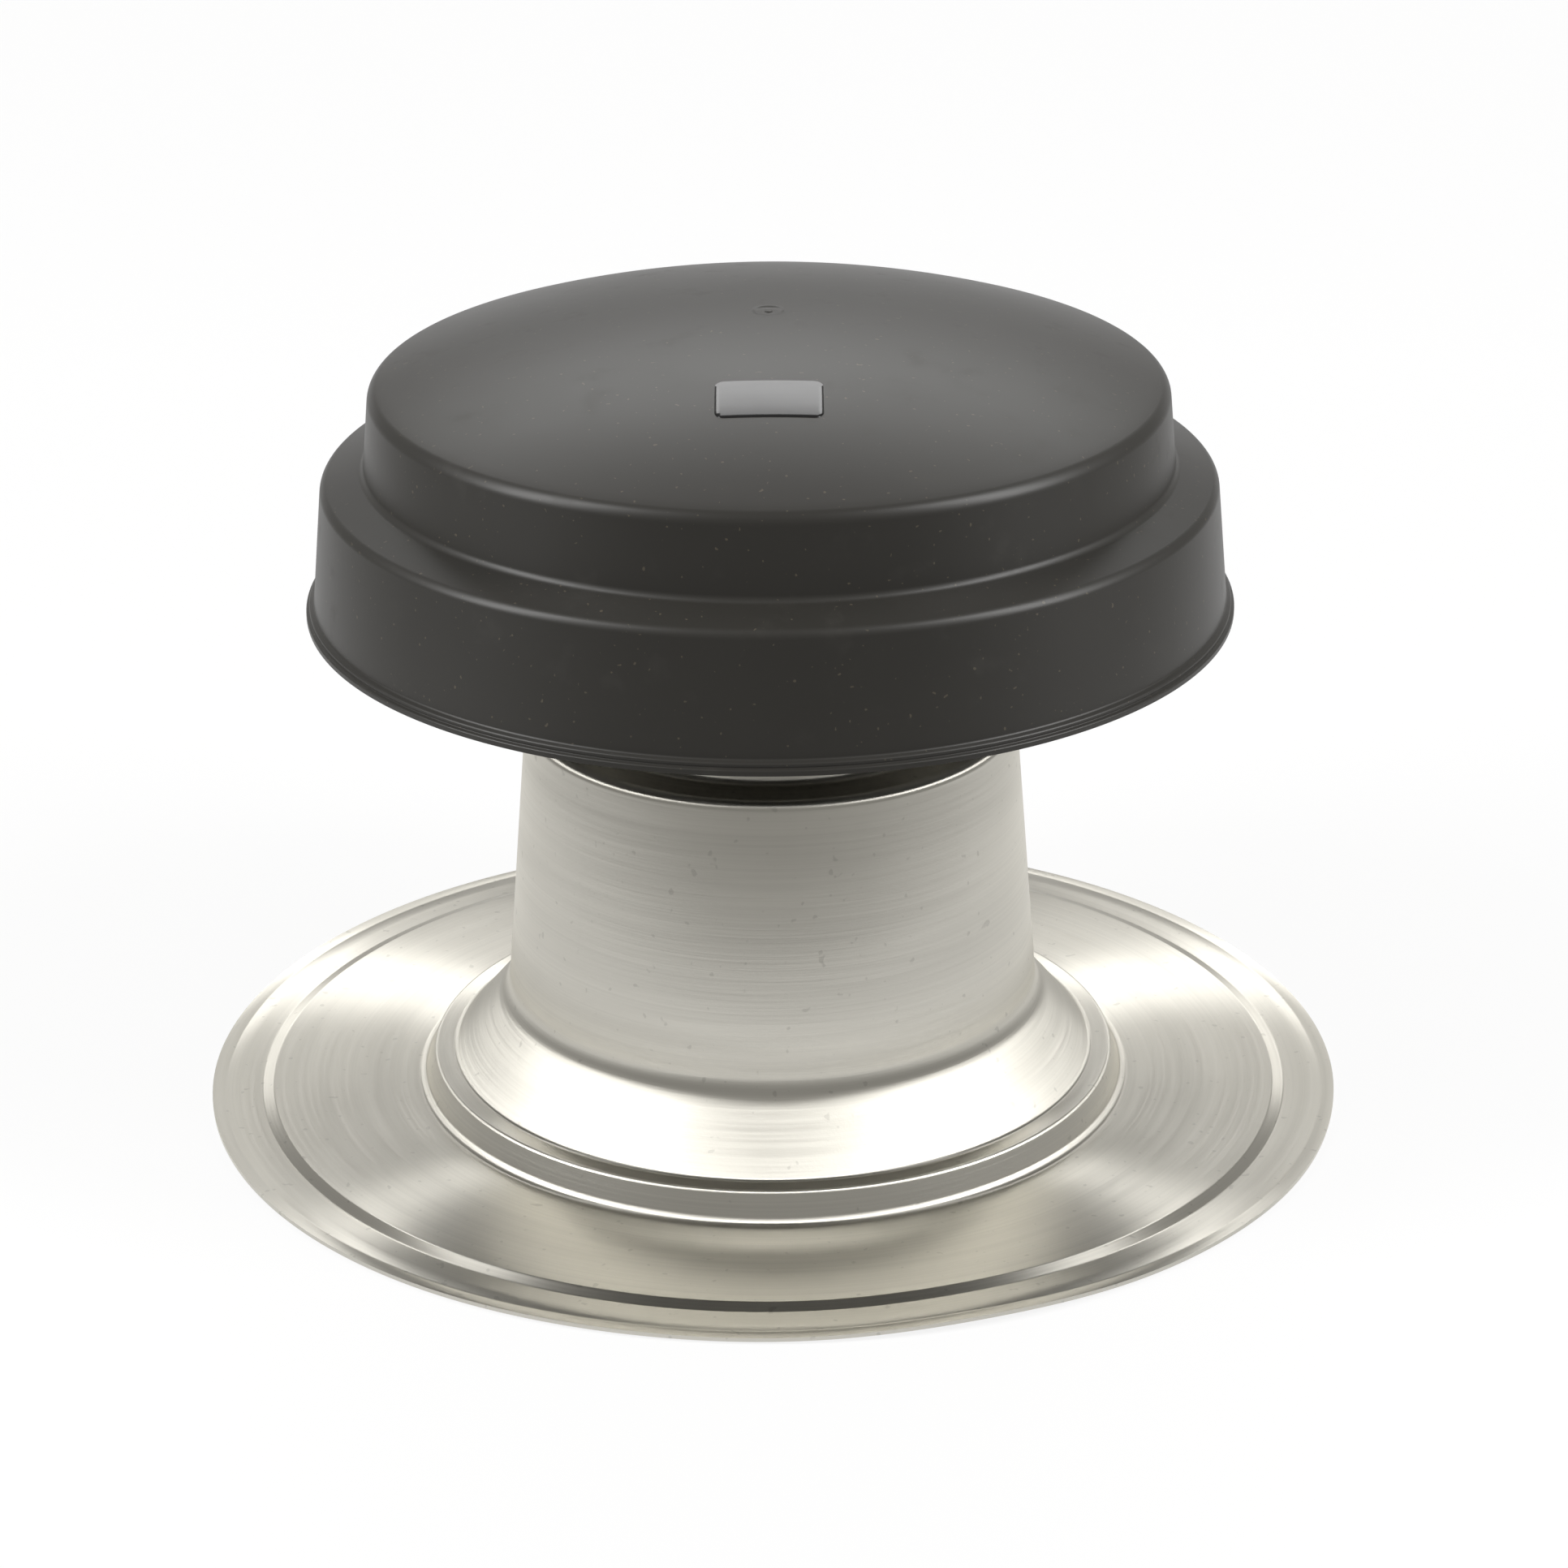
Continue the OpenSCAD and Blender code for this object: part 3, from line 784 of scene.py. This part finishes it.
def cap_boss(cap):
    """Outlines of a screw boss, its web to the skirt and its cross web, and the ledge's slope."""
    _, _, _, _, sides, _, ledge_z, skirt_z, skirt_low_r, lip_z = cap_paths(cap)
    tier_low_r, skirt_top_r = sides[1][0], sides[2][0]
    slope = (ledge_z - skirt_z) / (skirt_top_r - tier_low_r)
    half_wall = cap.wall / 2 * math.hypot(1, slope)
    top = skirt_z + (skirt_top_r - cap.boss_r) * slope - half_wall
    half, hole = cap.boss_d / 2, cap.pilot_d / 2
    hole_z = cap.boss_low + cap.pilot_deep
    boss = [
        Vector((0, hole_z)),
        Vector((hole, hole_z)),
        Vector((hole, cap.boss_low)),
        Vector((half - 0.4 * MM, cap.boss_low)),
        Vector((half, cap.boss_low + 0.4 * MM)),
        Vector((half, top)),
        Vector((0, top)),
    ]
    web_z = cap.boss_low + cap.boss_web_up
    skirt_r = skirt_low_r - (web_z - lip_z) * math.tan(cap.draft) - cap.wall / 2
    middle = rounded(shifted(sides, -cap.wall / 2))
    corner = [p for p in middle if p.x > cap.boss_r + half and p.y > cap.boss_low + half]
    start = Vector((cap.boss_r + 0.9 * half, web_z))
    web = [start, Vector((skirt_r, web_z))] + corner[::-1] + [Vector((start.x, top - 0.9 * half * slope))]
    low = web_z + cap.boss_web_up
    cross = [Vector((x, z)) for x, z in ((-cap.boss_d, low), (cap.boss_d, low), (cap.boss_d, top), (-cap.boss_d, top))]
    return boss, web, cross, slope


def cap_inside(cap):
    """The ribs, hub, bosses and webs inside the cap."""
    ring, rib_outline = cap_hub(cap)
    boss_outline, web_outline, cross_outline, slope = cap_boss(cap)
    rib = plate("cap_rib", rib_outline, cap.rib_t)
    boss = turned("cap_boss", boss_outline, False, 48)
    top = max(v.co.z for v in boss.data.vertices)
    for vertex in boss.data.vertices:
        if vertex.co.z > top - 0.01 * MM:
            vertex.co.z -= vertex.co.x * slope
    cross = plate("cap_cross_web", cross_outline, cap.rib_t)
    cross.rotation_euler.z = math.pi / 2
    leave(cross)
    joined(boss, [cross])
    boss.location.x = cap.boss_r
    leave(boss)
    joined(boss, [plate("cap_web", web_outline, cap.rib_t)])
    parts = [turned("cap_hub", ring, True, 64)]
    parts += [copied(rib, math.radians(30 + 60 * i)) for i in range(6)]
    parts += [copied(boss, math.radians(90 + 120 * i)) for i in range(3)]
    for spare in (rib, boss):
        only(spare)
        bpy.ops.object.delete()
    return parts


class VENT_OT_rain_cap(bpy.types.Operator):
    """Spin the rain cap and add its bosses and ribs"""

    bl_idname = "vent.rain_cap"
    bl_label = "Rain cap"

    def execute(self, context):
        _, cap, looks = settings()
        piece = turned("rain_cap_shell", cap_outline(cap), False)
        joined(piece, cap_inside(cap))
        smooth(piece)
        material = cap_plastic(looks)
        finished(piece, material)
        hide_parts("rain_cap")
        return {"FINISHED"}


class VENT_OT_dome_plate(bpy.types.Operator):
    """Lay the bare glossy plate on the dome"""

    bl_idname = "vent.dome_plate"
    bl_label = "Dome plate"

    def execute(self, context):
        _, cap, looks = settings()
        plate = context.scene.roof_vent_plate
        dome_mid, dome_r = cap_paths(cap)[:2]
        bpy.ops.object.select_all(action="DESELECT")
        bpy.ops.mesh.primitive_plane_add(size=1, location=(0, -plate.forward, dome_mid.y + dome_r))
        piece = context.object
        piece.name = piece.data.name = "dome_plate"
        piece.scale = (plate.width, plate.depth, 1)
        leave(piece)
        edit(piece)
        bpy.ops.mesh.select_all(action="SELECT")
        bpy.ops.mesh.bevel(offset=plate.corner, offset_type="OFFSET", segments=10, affect="VERTICES")
        bpy.ops.mesh.select_all(action="SELECT")
        bpy.ops.mesh.inset(thickness=0.35 * MM, depth=0)
        for step in range(1, 16):
            for axis, size in (((1, 0, 0), plate.width), ((0, 1, 0), plate.depth)):
                at = (step / 16 - 0.5) * size
                bpy.ops.mesh.select_all(action="SELECT")
                bpy.ops.mesh.bisect(
                    plane_co=(at * axis[0], at * axis[1] - plate.forward, 0), plane_no=axis, threshold=1e-6
                )
        bpy.ops.object.mode_set(mode="OBJECT")
        edge_x, edge_y = plate.width / 2 - 0.2 * MM, plate.depth / 2 - 0.2 * MM
        for vertex in piece.data.vertices:
            x, y = vertex.co.x, vertex.co.y
            corner_x = max(0, abs(x) - (plate.width / 2 - plate.corner))
            corner_y = max(0, abs(y + plate.forward) - (plate.depth / 2 - plate.corner))
            rim = abs(x) > edge_x or abs(y + plate.forward) > edge_y
            rim = rim or math.hypot(corner_x, corner_y) > plate.corner - 0.2 * MM
            lift = -0.4 * MM if rim else plate.thick
            vertex.co.z = dome_mid.y + math.sqrt(dome_r**2 - x * x - y * y) + lift
        smooth(piece, 60)
        finished(piece, gloss_plate(looks))
        return {"FINISHED"}


class VENT_OT_hardware(bpy.types.Operator):
    """Finish the brackets, rivets, screws and washers"""

    bl_idname = "vent.hardware"
    bl_label = "Brackets and fasteners"

    def execute(self, context):
        looks = settings()[2]
        steel, bright, drawn = bracket_steel(looks), fastener_steel(looks), rivet_aluminium(looks)
        for node in ("rear_bracket", "left_bracket", "right_bracket"):
            dress(node, steel)
        for node in ("cap_screws", "cap_washers"):
            dress(node, bright)
        dress("bracket_rivets", drawn)
        return {"FINISHED"}


class VENT_OT_bird_guard(bpy.types.Operator):
    """Finish the bird guard in the collar's mouth"""

    bl_idname = "vent.bird_guard"
    bl_label = "Bird guard"

    def execute(self, context):
        dress("bird_guard", guard_plastic(settings()[2]))
        return {"FINISHED"}


# Stage

CAMERA_PLACE = (0.0, -1.69964, 0.83766)
CAMERA_YAW = math.radians(0.1597)
CAMERA_PITCH = math.radians(22.92)
CAMERA_ROLL = math.radians(-0.2806)
CAMERA_LENS = 112.55


def camera():
    """The camera at the photo's viewing angle."""
    bpy.ops.object.select_all(action="DESELECT")
    bpy.ops.object.camera_add(location=CAMERA_PLACE)
    seen = bpy.context.object
    yaw, pitch, roll = CAMERA_YAW, CAMERA_PITCH, CAMERA_ROLL
    ahead = Vector((math.sin(yaw) * math.cos(pitch), math.cos(yaw) * math.cos(pitch), -math.sin(pitch)))
    right = Vector((math.cos(yaw), -math.sin(yaw), 0))
    up = right.cross(ahead)
    right, up = (
        math.cos(roll) * right + math.sin(roll) * up,
        -math.sin(roll) * right + math.cos(roll) * up,
    )
    turn = Matrix((right, up, -ahead)).transposed()
    seen.rotation_mode = "QUATERNION"
    seen.rotation_quaternion = turn.to_quaternion()
    seen.data.lens = CAMERA_LENS
    seen.data.sensor_width = 36
    seen.data.clip_start, seen.data.clip_end = 0.05, 50
    seen.data.dof.use_dof = False
    bpy.context.scene.camera = seen


def softbox(name, place, aim, size, power, tone=(1, 1, 1)):
    """A soft rectangular lamp that looks at a point."""
    bpy.ops.object.light_add(type="AREA", location=place)
    lamp = bpy.context.object
    lamp.name = name
    lamp.data.shape = "RECTANGLE"
    lamp.data.size, lamp.data.size_y = size
    lamp.data.energy = power
    lamp.data.color = tone
    lamp.rotation_mode = "QUATERNION"
    lamp.rotation_quaternion = (Vector(aim) - Vector(place)).to_track_quat("-Z", "Y")
    return lamp


FLOOR_FRONT, FLOOR_BACK, FLOOR_HALF = -0.42, 1.2, 0.9
SWEEP_UP, SWEEP_ROUND = 0.45, 0.3


def sweep():
    """A pale sheet: flat under the vent, and curved up behind it."""
    bpy.ops.object.select_all(action="DESELECT")
    bpy.ops.mesh.primitive_plane_add(size=1, location=(0, (FLOOR_FRONT + FLOOR_BACK) / 2, -0.3 * MM))
    floor = bpy.context.object
    floor.name = floor.data.name = "studio_floor"
    floor.scale = (2 * FLOOR_HALF, FLOOR_BACK - FLOOR_FRONT, 1)
    leave(floor)
    edit(floor)
    pick(floor, lambda e: min(v.co.y for v in e.verts) > FLOOR_BACK - MM, "edges")
    bpy.ops.mesh.extrude_region_move(TRANSFORM_OT_translate={"value": (0, 0, SWEEP_UP)})
    pick(floor, lambda e: min(v.co.y for v in e.verts) > FLOOR_BACK - MM and max(v.co.z for v in e.verts) < MM, "edges")
    bpy.ops.mesh.bevel(offset=SWEEP_ROUND, offset_type="OFFSET", segments=16, affect="EDGES")
    leave(floor)
    smooth(floor)
    return floor


def studio_white(name, tone, white, glow):
    """Floor paint that shows as white, and keeps a faint shadow."""
    mat = Finish(name)
    tree = mat.tree
    path = tree.nodes.new("ShaderNodeLightPath")
    rays = [Expr(mat, path.outputs[key]) for key in ("Is Camera Ray", "Is Glossy Ray", "Is Transmission Ray")]
    seen = (rays[0] + rays[1] + rays[2]).call("MINIMUM", 1.0)
    paint = tree.nodes.new("ShaderNodeBsdfDiffuse")
    paint.inputs["Color"].default_value = (*tone, 1)
    light = tree.nodes.new("ShaderNodeEmission")
    light.inputs["Color"].default_value = (*white, 1)
    light.inputs["Strength"].default_value = glow
    mix = tree.nodes.new("ShaderNodeMixShader")
    tree.links.new((seen * 0.85).socket, mix.inputs[0])
    tree.links.new(paint.outputs[0], mix.inputs[1])
    tree.links.new(light.outputs[0], mix.inputs[2])
    tree.links.new(mix.outputs[0], tree.nodes["Material Output"].inputs[0])
    return mat.material


class VENT_OT_stage(bpy.types.Operator):
    """Set the floor, lamps, world and camera"""

    bl_idname = "vent.stage"
    bl_label = "Studio stage"

    def execute(self, context):
        looks = settings()[2]
        scene = context.scene
        scene.view_settings.view_transform = "Standard"
        floor = sweep()
        floor.data.materials.append(studio_white("studio floor", looks.floor, (1, 1, 1), 1.0))
        world = bpy.data.worlds.new("studio")
        scene.world = world
        world.use_nodes = True
        tree = world.node_tree
        path = tree.nodes.new("ShaderNodeLightPath")
        ground = tree.nodes["Background"]
        ground.inputs["Color"].default_value = (1, 0.985, 0.95, 1)
        ground.inputs["Strength"].default_value = 0.35
        white = tree.nodes.new("ShaderNodeBackground")
        white.inputs["Color"].default_value = (1, 1, 1, 1)
        white.inputs["Strength"].default_value = 1.0
        mix = tree.nodes.new("ShaderNodeMixShader")
        tree.links.new(path.outputs["Is Camera Ray"], mix.inputs[0])
        tree.links.new(ground.outputs[0], mix.inputs[1])
        tree.links.new(white.outputs[0], mix.inputs[2])
        tree.links.new(mix.outputs[0], tree.nodes["World Output"].inputs[0])
        middle = (0, 0, 0.12)
        softbox("left lamp", (-1.5, -0.5, 1.3), middle, (0.5, 1.6), 30)
        softbox("right lamp", (1.5, -0.5, 1.3), middle, (0.5, 1.6), 30)
        softbox("back lamp", (0, 1.6, 1.5), middle, (1.8, 0.6), 12)
        camera()
        return {"FINISHED"}


OPERATORS = (
    VENT_OT_spun_base,
    VENT_OT_rain_cap,
    VENT_OT_dome_plate,
    VENT_OT_hardware,
    VENT_OT_bird_guard,
    VENT_OT_stage,
)
GROUPS = (
    (BaseSizes, "roof_vent_base"),
    (CapSizes, "roof_vent_cap"),
    (PlateSizes, "roof_vent_plate"),
    (Finishes, "roof_vent_looks"),
)


class VENT_PT_panel(bpy.types.Panel):
    """Lists the vent's sizes, finishes and pieces"""

    bl_idname = "VENT_PT_panel"
    bl_label = "Roof vent"
    bl_space_type = "VIEW_3D"
    bl_region_type = "UI"
    bl_category = "Roof vent"

    def draw(self, context):
        for group, place in GROUPS:
            box = self.layout.box()
            box.label(text=group.__doc__)
            for name in group.__annotations__:
                box.prop(getattr(context.scene, place), name)
        for operator in OPERATORS:
            self.layout.operator(operator.bl_idname)


def register():
    """Registers the classes and their settings."""
    for group, place in GROUPS:
        bpy.utils.register_class(group)
        setattr(bpy.types.Scene, place, bpy.props.PointerProperty(type=group))
    for part in (*OPERATORS, VENT_PT_panel):
        bpy.utils.register_class(part)


def unregister():
    """Takes the classes and their settings away."""
    for part in reversed((*OPERATORS, VENT_PT_panel)):
        bpy.utils.unregister_class(part)
    for group, place in reversed(GROUPS):
        delattr(bpy.types.Scene, place)
        bpy.utils.unregister_class(group)


def main():
    """Builds every piece and the stage."""
    register()
    bpy.ops.vent.spun_base()
    bpy.ops.vent.rain_cap()
    bpy.ops.vent.dome_plate()
    bpy.ops.vent.hardware()
    bpy.ops.vent.bird_guard()
    bpy.ops.vent.stage()


if __name__ == "__main__":
    main()
